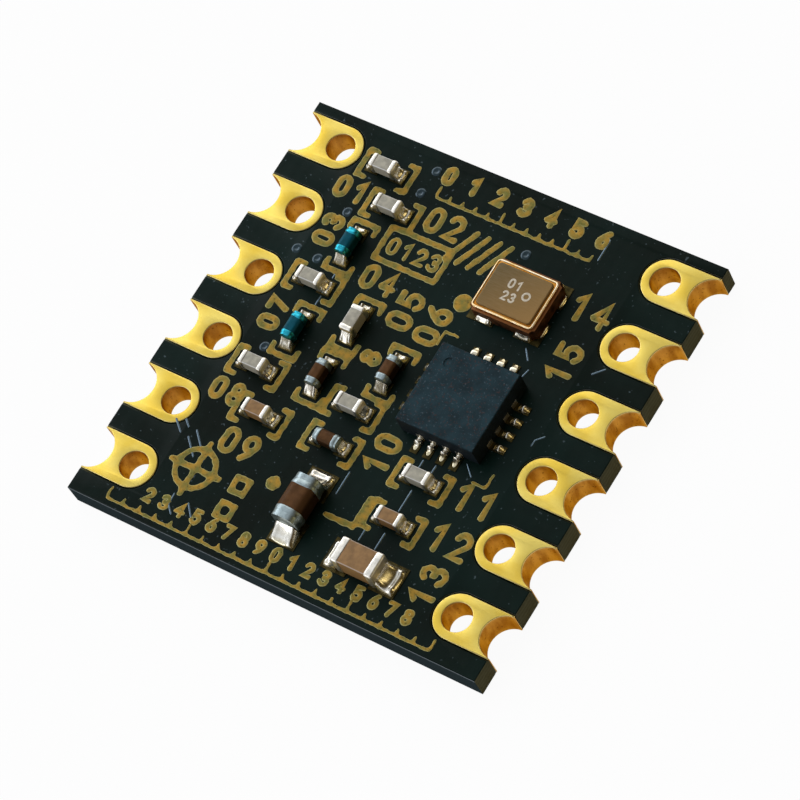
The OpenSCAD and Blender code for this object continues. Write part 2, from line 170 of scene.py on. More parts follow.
class CrystalLook(bpy.types.PropertyGroup):
    """Crystal in its lidded ceramic package."""
    lid_dark: colour("Lid, dark", "Darker brushed lines of the lid", "#5c4e30")
    lid_light: colour("Lid, light", "Lighter brushed lines of the lid", "#6a5c42")
    lid_heat: colour("Lid, heat tint", "Browner corner of the lid, where the weld closed", "#927040")
    mark: colour("Lid mark", "Etched marks on the lid", "#d9cdb8")
    seam_deep: colour("Weld seam, deep", "Deeper patches of the weld seam round the lid", "#f5cd86")
    seam_pale: colour("Weld seam, pale", "Paler patches of the weld seam round the lid", "#feeed0")
    ring_deep: colour("Seal ring, deep", "Deeper patches of the gold seal ring", "#b9772a")
    ring_pale: colour("Seal ring, pale", "Paler patches of the gold seal ring", "#d69a45")
    base_dark: colour("Base, dark", "Darker patches of the ceramic base", "#2a1508")
    base_light: colour("Base, light", "Lighter patches of the ceramic base", "#643f24")
    ledge: colour("Base, ledge", "Brazed ledge of the base, round the ring", "#8f5a2c")
    quartz: colour("Quartz", "Blank inside the package", "#cfd6da")
    edge_ease: length("Edge rounding", "Rounding of the ring's and lid's edges", 0.045)
    base_ease: length("Base rounding", "Rounding of the ceramic base's edges", 0.015)
    mark_depth: length("Mark height", "Height of an etched mark", 0.004)


class LegendLook(bpy.types.PropertyGroup):
    """Printed legend."""
    olive: colour("Ink, olive", "Thin, greenish patches of the ink", "#817b36")
    ochre: colour("Ink, ochre", "Thick, warmer patches of the ink", "#bb9030")
    rim: colour("Ink, rim", "Paler sloping rim of a printed stroke", "#c6bd78")
    digit_height: length("Digit height", "Height of the component numbers", 1.0)
    stroke: length("Stroke", "Width of a printed stroke", 0.22)
    wander: length("Raggedness", "How far the edge of a printed stroke wanders", 0.03)


class StageLook(bpy.types.PropertyGroup):
    """Floor, light and camera."""
    floor: colour("Floor", "Colour of the floor", "#fbfbfb")
    world_right: colour("Room, right side", "Light from the right side of the room", "#463a1a")
    world_left: colour("Room, left side", "Light from the left side of the room", "#d6dbe2")
    key_power: power("Key light", "Power of the long soft box on the left", 1.5)
    front_power: power("Front light", "Power of the low soft box at the front left", 0.45)
    rim_power: power("Rim light", "Power of the small warm soft box on the right", 0.17)
    back_power: power("Back light", "Power of the soft box at the back left", 1.1)
    azimuth: angle("Azimuth", "Camera's turn round the module", 60.6076)
    elevation: angle("Elevation", "Camera's height above the floor", 57.3807)
    roll: angle("Roll", "Camera's turn about its own axis", -32.2324)
    distance: length("Distance", "From the camera to its target", 135.2297)
    lens: FloatProperty(name="Lens", description="Focal length in millimetres on a 36 mm frame",
                        unit="CAMERA", default=193.038, min=1.0)


def add(tree, kind, inputs=None, out=None):
    """A node with its settings and links; gives the output named, or the first one in use."""
    node = tree.nodes.new("ShaderNode" + kind)
    for key, value in (inputs or {}).items():
        if isinstance(value, bpy.types.NodeSocket):
            tree.links.new(value, node.inputs[key])
        elif key == "stops":
            for stop, (position, shade) in zip(node.color_ramp.elements, value):
                stop.position, stop.color = position, tuple(shade)
        elif isinstance(key, int) or key in node.inputs:
            node.inputs[key].default_value = value if isinstance(value, float) else tuple(value)
        else:
            setattr(node, key, value)
    return node.outputs[out] if out else next(socket for socket in node.outputs if socket.enabled)


class Finish:
    """A material whose colour drifts in patches, with a fine grain in its gloss and relief."""

    def __init__(self, name, dark, pale, patch, grain, depth, roughness, sockets=None,
                 stretch=(1.0, 1.0, 1.0), cloud=(0.36, 0.64)):
        self.material = bpy.data.materials.new(name)
        self.material.use_nodes = True
        self.tree = tree = self.material.node_tree
        self.shader = tree.nodes["Principled BSDF"]
        for key, value in (sockets or {}).items():
            self.shader.inputs[key].default_value = value
        self.where = add(tree, "TexCoord", out="Object")
        place = add(tree, "Mapping", {"Scale": stretch, "Vector": self.where})
        drift = add(tree, "TexNoise", {"Scale": 1 / (patch * MM), "Detail": 4.0, "Vector": place})
        self.colour = add(tree, "ValToRGB", {"stops": zip(cloud, (dark, pale)), "Fac": drift})
        fine = add(tree, "TexNoise", {"Scale": 1 / (grain * MM), "Detail": 2.0, "Vector": place})
        gloss = add(tree, "MapRange", {"From Min": 0.3, "From Max": 0.7, "To Min": roughness[0],
                                       "To Max": roughness[1], "Value": fine})
        self.relief = add(tree, "Bump", {"Strength": 1.0, "Distance": depth * MM, "Height": fine})
        for source, socket in ((self.colour, "Base Color"), (gloss, "Roughness"), (self.relief, "Normal")):
            self.feed(source, socket)

    def feed(self, source, socket):
        """Links a source to one of the shader's sockets."""
        self.tree.links.new(source, self.shader.inputs[socket])

    def lay(self, share, under, over):
        """Makes the colour a mix of two others."""
        self.colour = add(self.tree, "Mix", {"data_type": "RGBA", 0: share, 6: under, 7: over})
        self.feed(self.colour, "Base Color")

    def facing(self, low, high, axis="Z"):
        """1 where the surface faces along an axis, 0 where it runs along with it."""
        normal = add(self.tree, "NewGeometry", out="Normal")
        part = add(self.tree, "SeparateXYZ", {"Vector": normal}, axis)
        size = add(self.tree, "Math", {"operation": "ABSOLUTE", 0: part})
        return add(self.tree, "MapRange", {"From Min": low, "From Max": high, "Value": size})

    def spots(self, size, low, high, most, detail=1.0, offset=0.0):
        """Share of small spots: none where the noise is below the low mark, most above the high one."""
        place = self.where
        if offset:
            place = add(self.tree, "Mapping", {"Location": [offset * MM] * 3, "Vector": place})
        grains = add(self.tree, "TexNoise", {"Scale": 1 / (size * MM), "Detail": detail, "Vector": place})
        return add(self.tree, "MapRange", {"From Min": low, "From Max": high, "To Max": most,
                                           "Value": grains})


def between(a, b, share):
    """A colour part of the way from a to b."""
    return tuple(x + (y - x) * share for x, y in zip(a, b))


def shades(base, spread):
    """A darker and a paler neighbour of a colour."""
    return between(base, BLACK, spread), tuple(min(channel * (1 + 0.6 * spread), 1.0) for channel in base)


def mask_on_glass_laminate(look):
    """Printed solder mask over woven glass and resin, routed at the edges."""
    # The mask gives a near-black satin skin with a faint cloth pattern; the routed edge shows olive
    # resin with paler glass layers, and its front and back walls are painted darker, as painted shade.
    mask = Finish("solder_mask_on_glass_laminate", look.mask_dark, look.mask_blue, patch=3.5, grain=0.06,
                  depth=0.0015, roughness=(0.3, 0.42), sockets={"Specular IOR Level": 0.08})
    mask.lay(mask.spots(size=0.13, low=0.71, high=0.8, most=0.42), mask.colour, look.dust)
    tree, where = mask.tree, mask.where
    layer, thread = 0.17 * MM, 0.45 * MM
    bands = add(tree, "TexWave", {"bands_direction": "Z", "Scale": WAVE / layer, "Distortion": 2.5,
                                  "Detail": 3.0, "Detail Scale": 2.0, "Vector": where}, "Fac")
    layers = [(0.2, look.laminate_dark), (0.8, look.laminate_light)]
    edge = add(tree, "ValToRGB", {"stops": layers, "Fac": bands})
    # Painted shade: walls that face the front and the back are painted darker than those facing along X.
    edge = add(tree, "Mix", {"data_type": "RGBA", 0: mask.facing(0.4, 0.7, "X"), 6: look.sheared, 7: edge})
    # Painted highlight: a pale line runs along the top of the front edge, just under the mask.
    normal = add(tree, "NewGeometry", out="Normal")
    front = add(tree, "VectorMath", {"operation": "DOT_PRODUCT", 0: normal, 1: (0.0, -1.0, 0.0)}, "Value")
    front = add(tree, "MapRange", {"From Min": 0.5, "From Max": 0.8, "To Max": 0.8, "Value": front})
    height = add(tree, "SeparateXYZ", {"Vector": where}, "Z")
    above = add(tree, "MapRange", {"From Min": TOP - 0.1 * MM, "From Max": TOP - 0.06 * MM, "Value": height})
    line = add(tree, "Math", {"operation": "MULTIPLY", 0: above, 1: front})
    edge = add(tree, "Mix", {"data_type": "RGBA", 0: line, 6: edge, 7: look.chafed})
    routed = add(tree, "BsdfDiffuse", {"Roughness": 0.9, "Color": edge, "Normal": mask.relief})
    skin = add(tree, "MixShader", {0: mask.facing(0.25, 0.6), 1: routed, 2: mask.shader.outputs["BSDF"]})
    tree.links.new(skin, tree.nodes["Material Output"].inputs["Surface"])
    cloth = mask.relief
    for axis in ("X", "Y"):
        weave = add(tree, "TexWave", {"bands_direction": axis, "Scale": WAVE / thread, "Distortion": 0.6,
                                      "Vector": where}, "Fac")
        cloth = add(tree, "Bump", {"Strength": 1.0, "Distance": 0.0015 * MM, "Height": weave,
                                   "Normal": cloth})
    mask.feed(cloth, "Normal")
    return mask.material


def mask_over_copper(name, look, glint):
    """Solder mask drawn thin and glossy over the edges of copper."""
    # The same dark skin, smooth enough to show a pale line where it bends down from a trace; the copper
    # glints through it there, so it shines more than the mask alone.
    shine = {"IOR": glint, "Specular IOR Level": 0.9, "Specular Tint": lin("#cdeaff")}
    return Finish(name, look.mask_dark, look.mask_blue, patch=3.5, grain=0.06, depth=0.0004,
                  roughness=(0.16, 0.26), sockets=shine).material


def immersion_gold(name, deep, pale, wall_dark, wall_pale, rim):
    """Gold flashed over nickel on copper, drilled walls plated with it."""
    # A satin yellow metal, a little paler in patches and painted paler along its rounded rims, as painted
    # highlight; the walls of the holes are painted darker and more orange than the plating, as painted shade
    # and painted reflection of the gold inside the holes, with faint drill marks down them and a few dark
    # specks.
    gold = Finish(name, deep, pale, patch=1.2, grain=0.05, depth=0.0008, roughness=(0.4, 0.5),
                  sockets={"Metallic": 1.0, "Specular Tint": lin("#d8b476")})
    tree = gold.tree
    along = add(tree, "Mapping", {"Scale": (1.0, 1.0, 0.35), "Vector": gold.where})
    drill = add(tree, "TexNoise", {"Scale": 1 / (0.3 * MM), "Detail": 3.0, "Vector": along})
    walls = add(tree, "ValToRGB", {"stops": [(0.36, wall_dark), (0.64, wall_pale)], "Fac": drill})
    specks = gold.spots(size=0.09, low=0.66, high=0.72, most=0.7)
    walls = add(tree, "Mix", {"data_type": "RGBA", 0: specks, 6: walls, 7: between(wall_dark, BLACK, 0.8)})
    # Painted highlight: the rounded rims are painted in the paler rim colour.
    gold.lay(gold.facing(0.86, 0.99), rim, gold.colour)
    # Painted shade and painted reflection: the walls of the holes take their own darker, more orange
    # colours.
    gold.lay(gold.facing(0.1, 0.35), walls, gold.colour)
    return gold.material


def fired_ceramic(name, base, gloss, shine, edge, side):
    """Tape-cast ceramic, fired and tumbled."""
    # A dense, fine-grained body with soft clouds in its colour and an even satin shine; its eased edges
    # and upright sides lean towards white as painted highlight on some bodies, towards black as painted
    # shade on others.
    ceramic = Finish(name, *shades(base, 0.22), patch=0.22, grain=0.035, depth=0.0016, roughness=gloss,
                     sockets={"Specular IOR Level": shine})
    rim = add(ceramic.tree, "Mix", {"data_type": "RGBA", 0: ceramic.facing(0.25, 0.55), 6: side, 7: edge})
    ceramic.lay(ceramic.facing(0.88, 0.98), rim, ceramic.colour)
    return ceramic.material


def tin_plate(name, base, gloss):
    """Dipped silver paste, plated with nickel and matt tin."""
    # A soft white metal with small clouds, never a clean mirror.
    return Finish(name, *shades(base, 0.16), patch=0.16, grain=0.05, depth=0.002, roughness=gloss,
                  sockets={"Metallic": 1.0}).material


def reflowed_solder(look):
    """Tin solder, melted in place over gold lands."""
    # Bright and liquid-looking; the thin foot of a joint is warmed by the gold that it covers.
    solder = Finish("reflowed_tin_solder", look.shade, look.bright, patch=0.2, grain=0.12, depth=0.0012,
                    roughness=(0.2, 0.32), sockets={"Metallic": 1.0}, cloud=(0.38, 0.62))
    height = add(solder.tree, "SeparateXYZ", {"Vector": solder.where}, "Z")
    thin = add(solder.tree, "MapRange", {"From Min": TOP + 0.04 * MM, "From Max": TOP + 0.16 * MM,
                                         "To Min": 0.4, "To Max": 0.05, "Value": height})
    solder.lay(thin, solder.colour, look.warm)
    return solder.material


def moulded_epoxy(look):
    """Silica-filled epoxy, transfer-moulded and tape-finished."""
    # A matt slate top with tiny warm and pale filler grains.
    # The grains are near 0.02 mm in fact and drawn nearly four times as coarse, so that they show.
    epoxy = Finish("moulded_filled_epoxy", look.slate_dark, look.slate_light, patch=0.5, grain=0.06,
                   depth=0.003, roughness=(0.55, 0.7), sockets={"Specular IOR Level": 0.12})
    for shade, offset, cut in ((look.speck_red, 3.1, 0.6), (look.speck_pale, 7.7, 0.63)):
        grains = epoxy.spots(size=0.075, low=cut, high=cut + 0.09, most=0.6, offset=offset)
        epoxy.lay(grains, epoxy.colour, shade)
    # Painted shade: the upright sides are painted darker than the top.
    epoxy.lay(epoxy.facing(0.2, 0.5), look.sawn, epoxy.colour)
    return epoxy.material


def plated_lid(look):
    """Nickel-plated alloy lid, rolled and seam-welded."""
    # A warm taupe metal with fine rolling lines along its length, browner towards the corner where
    # the weld closed and the metal was hottest.
    lid = Finish("rolled_plated_lid", look.lid_dark, look.lid_light, patch=0.035, grain=0.03, depth=0.0006,
                 roughness=(0.42, 0.54), sockets={"Metallic": 0.8}, stretch=(0.12, 1.0, 1.0))
    low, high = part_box("crystal_lid")
    slant = add(lid.tree, "VectorMath", {"operation": "DOT_PRODUCT", 0: lid.where, 1: (1.0, -1.0, 0.0)},
                "Value")
    heat = add(lid.tree, "MapRange", {"From Min": low.x - high.y, "From Max": high.x - low.y, "To Max": 0.9,
                                      "Value": slant})
    lid.lay(heat, lid.colour, look.lid_heat)
    return lid.material


def dark_alumina(look):
    """Dark alumina, fired, with a brazed ledge."""
    # A dull, clouded brown-black; the ledge round the ring carries the edge of the brazed metal, so it
    # is browner than the sides.
    ceramic = Finish("fired_dark_alumina", look.base_dark, look.base_light, patch=0.3, grain=0.05,
                     depth=0.002, roughness=(0.4, 0.55), sockets={"Specular IOR Level": 0.15})
    ceramic.lay(ceramic.facing(0.3, 0.8), ceramic.colour, look.ledge)
    return ceramic.material


def printed_ink(look):
    """Epoxy legend ink, screen-printed."""
    # Uneven olive to ochre print: thin where the mask shows through, warmer where it lies thick; its sloping
    # rims are painted paler, as painted highlight.
    ink = Finish("screen_printed_legend_ink", look.olive, look.ochre, patch=0.34, grain=0.05, depth=0.004,
                 roughness=(0.5, 0.7), sockets={"Specular IOR Level": 0.2}, cloud=(0.36, 0.62))
    thin = ink.spots(size=0.1, low=0.56, high=0.72, most=0.6, detail=2.0)
    ink.lay(thin, ink.colour, between(look.olive, BLACK, 0.75))
    # Painted highlight: the sloping rim of each stroke is painted paler than its top.
    ink.lay(ink.facing(0.86, 0.985), look.rim, ink.colour)
    return ink.material


def joined(items, neighbours):
    """Groups of items that hang together, in the order of their first items."""
    left = dict.fromkeys(items)
    while left:
        group = [next(iter(left))]
        del left[group[0]]
        for item in group:
            for other in neighbours(item):
                if other in left:
                    del left[other]
                    group.append(other)
        yield group


def next_faces(face):
    """Faces that share an edge with a face."""
    return [other for edge in face.edges for other in edge.link_faces]


def turn_outwards(bm):
    """Makes each closed shell of a mesh face outwards."""
    bmesh.ops.recalc_face_normals(bm, faces=bm.faces)
    for shell in list(joined(bm.faces, next_faces)):
        origin = shell[0].verts[0].co.copy()
        volume = 0.0
        for face in shell:
            corners = [(v.co - origin) / MM for v in face.verts]
            volume += sum(corners[0].dot(b.cross(c)) for b, c in zip(corners[1:], corners[2:]))
        if volume < 0:
            bmesh.ops.reverse_faces(bm, faces=shell)


def piece(name, bm, material, nodes=(), slot=None, crease=None, even=False):
    """An object from a mesh in the making, riding on the module and standing for its solids."""
    if not bm.faces:
        raise RuntimeError(f"{name} came out empty")
    turn_outwards(bm)
    mesh = bpy.data.meshes.new(name)
    bm.to_mesh(mesh)
    bm.free()
    mesh.polygons.foreach_set("use_smooth", [not even or abs(p.normal.z) < 0.9999 for p in mesh.polygons])
    mesh.set_sharp_from_angle(angle=math.radians(crease) if crease else SHARP)
    mesh.materials.append(material)
    obj = bpy.data.objects.new(name, mesh)
    bpy.context.scene.collection.objects.link(obj)
    if even:
        obj.modifiers.new("even_shading", "WEIGHTED_NORMAL").keep_sharp = True
    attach(obj, "root")
    if nodes:
        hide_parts(*nodes)
    slot or SLOT_OF[nodes[0]]


def paint_solid(node, material):
    """Gives a packed solid its finish."""
    SOLIDS[node].data.materials.clear()
    SOLIDS[node].data.materials.append(material)


def copy_of(node):
    """A solid's mesh, welded."""
    bm = bmesh.new()
    bm.from_mesh(SOLIDS[node].data)
    bmesh.ops.remove_doubles(bm, verts=bm.verts, dist=WELD)
    bm.normal_update()
    return bm


def islands(node):
    """Boxes of the separate solids in one node."""
    bm = copy_of(node)
    boxes = []
    for group in joined(bm.verts, lambda vert: [edge.other_vert(vert) for edge in vert.link_edges]):
        spots = list(zip(*(vert.co for vert in group)))
        boxes.append((Vector(map(min, spots)), Vector(map(max, spots))))
    bm.free()
    return boxes


def flat_islands(bm, height, facing):
    """Groups of joined faces at one height, each with its boundary loops, inside on the left."""
    flat = [f for f in bm.faces
            if f.normal.z * facing > 0.99 and abs(f.calc_center_median().z - height) < LEVEL]
    found = []
    for faces in joined(flat, next_faces):
        inside, after, loops = set(faces), {}, []
        for face in faces:
            for corner in face.loops:
                if sum(other in inside for other in corner.edge.link_faces) == 1:
                    after[corner.vert] = corner.link_loop_next.vert
        while after:
            start, vert = after.popitem()
            loop = [start]
            while vert is not start:
                loop.append(vert)
                vert = after.pop(vert)
            loops.append(loop)
        found.append((faces, loops))
    return found


def inset(points, width):
    """A closed line of points moved to its left."""
    out = []
    for k, point in enumerate(points):
        a = (point - points[k - 1]).normalized()
        b = (points[(k + 1) % len(points)] - point).normalized()
        a, b = Vector((-a.y, a.x)), Vector((-b.y, b.x))
        out.append(point + (a + b) * (width / max(1 + a.dot(b), 0.5)))
    return out


def strip(bm, a, b):
    """Faces between two closed rows of vertices."""
    for k in range(len(a)):
        after = (k + 1) % len(a)
        bm.faces.new((a[k], a[after], b[after], b[k]))


def triangles(outlines):
    """Corners of flat triangles between an outline and those inside it; nothing if the lines cross."""
    points = [p / MM for line in outlines for p in line]
    edges = []
    for line in outlines:
        first = len(edges)
        edges += [(first + k, first + (k + 1) % len(line)) for k in range(len(line))]
    enclosed, finest = 1, 1e-6
    found = geometry.delaunay_2d_cdt(points, edges, [], enclosed, finest)
    faces, sources = found[2], found[3]
    if not all(sources):
        return None

    def inside(corners):
        spot = sum((points[k] for k in corners), Vector((0.0, 0.0))) / len(corners)
        odd = False
        for a, b in edges:
            p, q = points[a], points[b]
            if (p.y > spot.y) != (q.y > spot.y):
                odd ^= spot.x < p.x + (q.x - p.x) * (spot.y - p.y) / (q.y - p.y)
        return odd
    return [corners for corners in ([sources[k][0] for k in face] for face in faces) if inside(corners)]


def fill(bm, loops):
    """Flat faces between an outline and the loops inside it."""
    verts = [v for loop in loops for v in loop]
    faces = triangles([[v.co.xy for v in loop] for loop in loops])
    if faces is None:
        # At a sharp tip a rim can cross itself; clipping ears keeps to the points that are there.
        faces = geometry.tessellate_polygon([[(v.co / MM) for v in loop] for loop in loops])
    for corners in faces:
        bm.faces.new([verts[k] for k in corners])


def rounding(radius, steps):
    """Steps round a quarter circle: how far short of the end, and how far in, each one lies."""
    turns = [k * math.pi / 2 / steps for k in range(steps + 1)]
    return [(radius * (1 - math.sin(t)), radius * (1 - math.cos(t))) for t in turns]


def round_rim(bm, loop, height, facing, width, spread=1.0):
    """Rolls a rim over from its side walls to the flat face; returns the face's new outline."""
    flat = [v.co.xy.copy() for v in loop]
    for vert in loop:
        vert.co.z = height - facing * width
    for short, shrink in rounding(width, steps=3)[1:]:
        spots = inset(flat, facing * shrink * spread)
        ring = [bm.verts.new((p.x, p.y, height - facing * short)) for p in spots]
        strip(bm, loop, ring)
        loop = ring
    return loop


def rounded_plate(node, width):
    """A plate's mesh with every rim of its upper and lower faces rounded."""
    bm = copy_of(node)
    for height, facing in ((TOP, 1), (0.0, -1)):
        found = flat_islands(bm, height, facing)
        bmesh.ops.delete(bm, geom=[face for faces, _ in found for face in faces], context="FACES")
        for _, loops in found:
            fill(bm, [round_rim(bm, loop, height, facing, width) for loop in loops])
    return bm


def eased_block(node, width, steps=3, beyond=0.0):
    """A block's mesh with the top edges that lie beyond a distance from its middle rounded."""
    bm = copy_of(node)
    bmesh.ops.dissolve_limit(bm, angle_limit=math.radians(0.5), use_dissolve_boundaries=False,
                             verts=bm.verts, edges=bm.edges)
    bm.normal_update()
    low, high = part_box(node)
    middle = (low + high) / 2

    def picked(vert):
        away = vert.co - middle
        return abs(vert.co.z - high.z) < LEVEL and max(abs(away.x), abs(away.y)) > beyond
    edges = [e for e in bm.edges if len(e.link_faces) == 2 and e.is_convex
             and e.calc_face_angle() > SHARP and all(map(picked, e.verts))]
    bmesh.ops.bevel(bm, geom=edges, offset=width, offset_type="OFFSET", segments=steps, profile=0.5,
                    affect="EDGES", clamp_overlap=True)
    return bm


def loft(bm, rings, ring_round=False):
    """Skin over rings of points; closed at its ends, or joined round to the first ring."""
    rows = [[bm.verts.new(p) for p in ring] for ring in rings]
    for a, b in zip(rows, rows[1:]):
        strip(bm, a, b)
    if ring_round:
        strip(bm, rows[-1], rows[0])
    else:
        bm.faces.new(rows[0][::-1])
        bm.faces.new(rows[-1])


def arc(cx, cy, rx, ry, start, stop, steps):
    """Points along part of an ellipse, in degrees."""
    turns = [math.radians(start + (stop - start) * k / steps) for k in range(steps + 1)]
    return [(cx + rx * math.cos(t), cy + ry * math.sin(t)) for t in turns]


def turned(bm, x, y, z, rows, ring_round=False):
    """Round shape about an upright axis, from rows of radius and height."""
    around = 20
    loft(bm, [[(px, py, z + height) for px, py in arc(x, y, radius, radius, 0, 360, around)[:-1]]
              for radius, height in rows], ring_round)


def rounded_ring(half_w, half_h, radius):
    """Rounded rectangle about the origin, with the same number of points whatever its size."""
    radius = max(min(radius, half_w * 0.98, half_h * 0.98), 0.001 * MM)
    corner, side = 5, 4
    bends = [arc(sx * (half_w - radius), sy * (half_h - radius), radius, radius, start, start + 90, corner)
             for sx, sy, start in ((1, 1, 0), (-1, 1, 90), (-1, -1, 180), (1, -1, 270))]
    out = []
    for bend, after in zip(bends, bends[1:] + bends[:1]):
        (x, y), (x_after, y_after) = bend[-1], after[0]
        out += bend + [(x + (x_after - x) * k / side, y + (y_after - y) * k / side) for k in range(1, side)]
    return out


class Chip:
    """Place and sizes of a chip, read from its solids."""

    def __init__(self, name):
        low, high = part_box(f"{name}_ends")
        size = high - low
        self.along_y = size.y > size.x
        self.half_l, self.half_w = sorted((size.x / 2, size.y / 2), reverse=True)
        self.height = size.z
        self.centre = Vector(((low.x + high.x) / 2, (low.y + high.y) / 2, low.z))
        self.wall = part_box(f"{name}_body")[0].z - low.z
        cap_low, cap_high = islands(f"{name}_ends")[0]
        # The plating of a capacitor ends a little short of its solid.
        self.cap = (cap_high - cap_low)[1 if self.along_y else 0] * (0.78 if name in CAPACITORS else 1.0)
        # The noise of each chip is read at a place of its own.
        self.seed = self.centre * 900.0

    def place(self, x, y, z):
        """A point of the chip's own frame, in the module's."""
        if self.along_y:
            x, y = -y, x
        return self.centre + Vector((x, y, z))


def chip_body(chip, ease_end):
    """Ceramic bar with eased edges and a slightly crowned top."""
    bm = bmesh.new()
    finest = 0.01 * MM
    half_w = chip.half_w - chip.wall
    half_h = chip.height / 2 - chip.wall
    reach = chip.half_l - chip.wall
    round_end = max(ease_end - chip.wall, finest)
    ends = [(reach - short, shrink) for short, shrink in rounding(round_end, steps=4)]
    rows = [(-x, shrink) for x, shrink in reversed(ends)]
    rows += [(share * reach, 0.0) for share in (-0.5, -0.25, 0.0, 0.25, 0.5)] + ends
    rings = []
    for x, shrink in rows:
        crown = 0.008 * MM * (1 - (x / reach) ** 2)
        ring = rounded_ring(half_w - shrink, half_h - shrink, max(round_end * 0.88 - shrink, finest))
        rings.append([chip.place(x, y, chip.height / 2 + z + (crown if z > 0 else 0.0)) for y, z in ring])
    loft(bm, rings)
    return bm


def chip_caps(chip, ease_end, wave):
    """Two metal caps that wrap the ends of the body, with a soft, wandering lip."""
    bm = bmesh.new()
    half_h = chip.height / 2
    lip = chip.half_l - chip.cap
    shoulder = min(0.045 * MM, (chip.cap - ease_end) * 0.6)
    wave = min(wave, shoulder * 0.6)
    # Place along the chip, depth below the cap's outside, share of the lip's wandering
    rows = [(chip.half_l - chip.wall, chip.wall, 0.0), (lip, chip.wall, 1.0),
            (lip - 0.004 * MM, chip.wall * 0.55, 1.0), (lip + shoulder * 0.27, chip.wall * 0.12, 1.0),
            (lip + shoulder, 0.0, 0.6)]
    rows += [(chip.half_l - short, shrink, 0.0) for short, shrink in rounding(ease_end, steps=5)]
    rows += [(chip.half_l, min(ease_end + chip.half_w * 0.35, min(chip.half_w, half_h) * 0.8), 0.0)]
    for side in (-1, 1):
        rings = []
        for x, shrink, sway in rows:
            radius = max(ease_end - shrink, chip.wall * 0.6)
            points = []
            for y, z in rounded_ring(chip.half_w - shrink, half_h - shrink, radius):
                drift = noise.noise(chip.seed + Vector((side * 5.0, y * 4000, z * 4000)))
                points.append(chip.place(side * (x + sway * wave * drift), side * y, half_h + z))
            rings.append(points)
        loft(bm, rings)
    return bm


def outwards(away, along_y):
    """Direction along X or Y, to the side that a point lies on."""
    return Vector((0, math.copysign(1, away.y), 0)) if along_y else Vector((math.copysign(1, away.x), 0, 0))


def joint(low, high, out):
    """Foot on the wall, sideways direction, reach, width and height of a joint that fills a box."""
    size = high - low
    across = Vector((-out.y, out.x, 0))
    reach = abs(size.dot(out))
    foot = (low + high) / 2 - out * reach / 2
    foot.z = low.z
    return foot, across, reach, abs(size.dot(across)), size.z


def hump(distance, spread):
    """Height of a smooth hump at a distance from its middle."""
    return math.exp(-(distance / spread) ** 2)


def meniscus(bm, low, high, out):
    """Hollow fillet of solder from a wall, with rounded edges, two side ridges and a toe."""
    deep, wide = 18, 16
    origin, across, reach, width, rise = joint(low, high, out)
    # It stays a little inside its box; a joint at the front is fuller than the others.
    reach, width, rise = reach * 0.95, width * 0.88, rise * 0.96
    full_bend, hollow_bend = 1.4, 2.4
    bend = full_bend if out.y < 0 else hollow_bend
    seed = (low + high) / 2 * 2500
    lean = 0.12 * noise.noise(seed)
    full = rise * (0.9 + 0.1 * noise.noise(seed + Vector((3, 1, 4))))
    pillow = min(0.055 * MM, 0.3 * rise)
    ridge = min(0.07 * MM, 0.35 * rise)
    grid = []
    for i in range(deep + 1):
        u = i / deep
        nose = math.sqrt(max(1 - u ** 7, 0.0))
        row = []
        for j in range(wide + 1):
            v = 2 * j / wide - 1
            side = math.sqrt(max(1 - abs(v) ** 6, 0.0))
            swell = noise.noise(seed + Vector((u * 1.7, v * 1.3, 2.0)))
            hollow = (full - pillow) * (1 - u) ** bend * (1 + lean * v)
            flank = ridge * hump(abs(v) - 0.68, 0.2) * (0.5 + 0.5 * u)
            flank += ridge * (bend - full_bend) * 0.7 * hump(u - 0.78, 0.13)
            flank *= 1 + 0.35 * swell + 3 * lean * v
            height = (hollow + pillow * (1 + 0.25 * swell) + flank) * side * nose
            spread = reach * u * (1 - 0.1 * abs(v) ** 5 * u)
            row.append(origin + out * spread + across * (v * width / 2) + UP * max(height, 0.004 * MM))
        grid.append(row)
    top = [[bm.verts.new(p) for p in row] for row in grid]
    base = [[bm.verts.new((p.x, p.y, origin.z)) for p in row] for row in grid]
    for i in range(deep):
        for j in range(wide):
            bm.faces.new((top[i][j], top[i + 1][j], top[i + 1][j + 1], top[i][j + 1]))
            bm.faces.new((base[i][j], base[i][j + 1], base[i + 1][j + 1], base[i + 1][j]))
    rim = [(i, 0) for i in range(deep)] + [(deep, j) for j in range(wide)]
    rim += [(i, wide) for i in range(deep, 0, -1)] + [(0, j) for j in range(wide, 0, -1)]
    strip(bm, [top[i][j] for i, j in rim], [base[i][j] for i, j in rim])


# Drops of solder: start and stop along the land, width, place of the peak, height, climb up the lead
# tip, crown, which is rounder for a higher number, and what its place is multiplied by to seed its noise
SIDE_DROP = {"start": 0.26, "stop": 1.0, "wide": 1.0, "peak": 0.5, "tall": 0.74, "neck": 0.0, "crown": 0.85,
             "seed": 3000}
BACK_DROP = dict(SIDE_DROP, tall=0.3, crown=0.3)
FRONT_DROP = dict(SIDE_DROP, start=0.0, stop=0.8, peak=0.4, tall=0.8, neck=0.95)
FLAT_DROP = dict(SIDE_DROP, start=0.0, stop=0.95, wide=0.88, tall=0.4, crown=0.3, seed=2500)


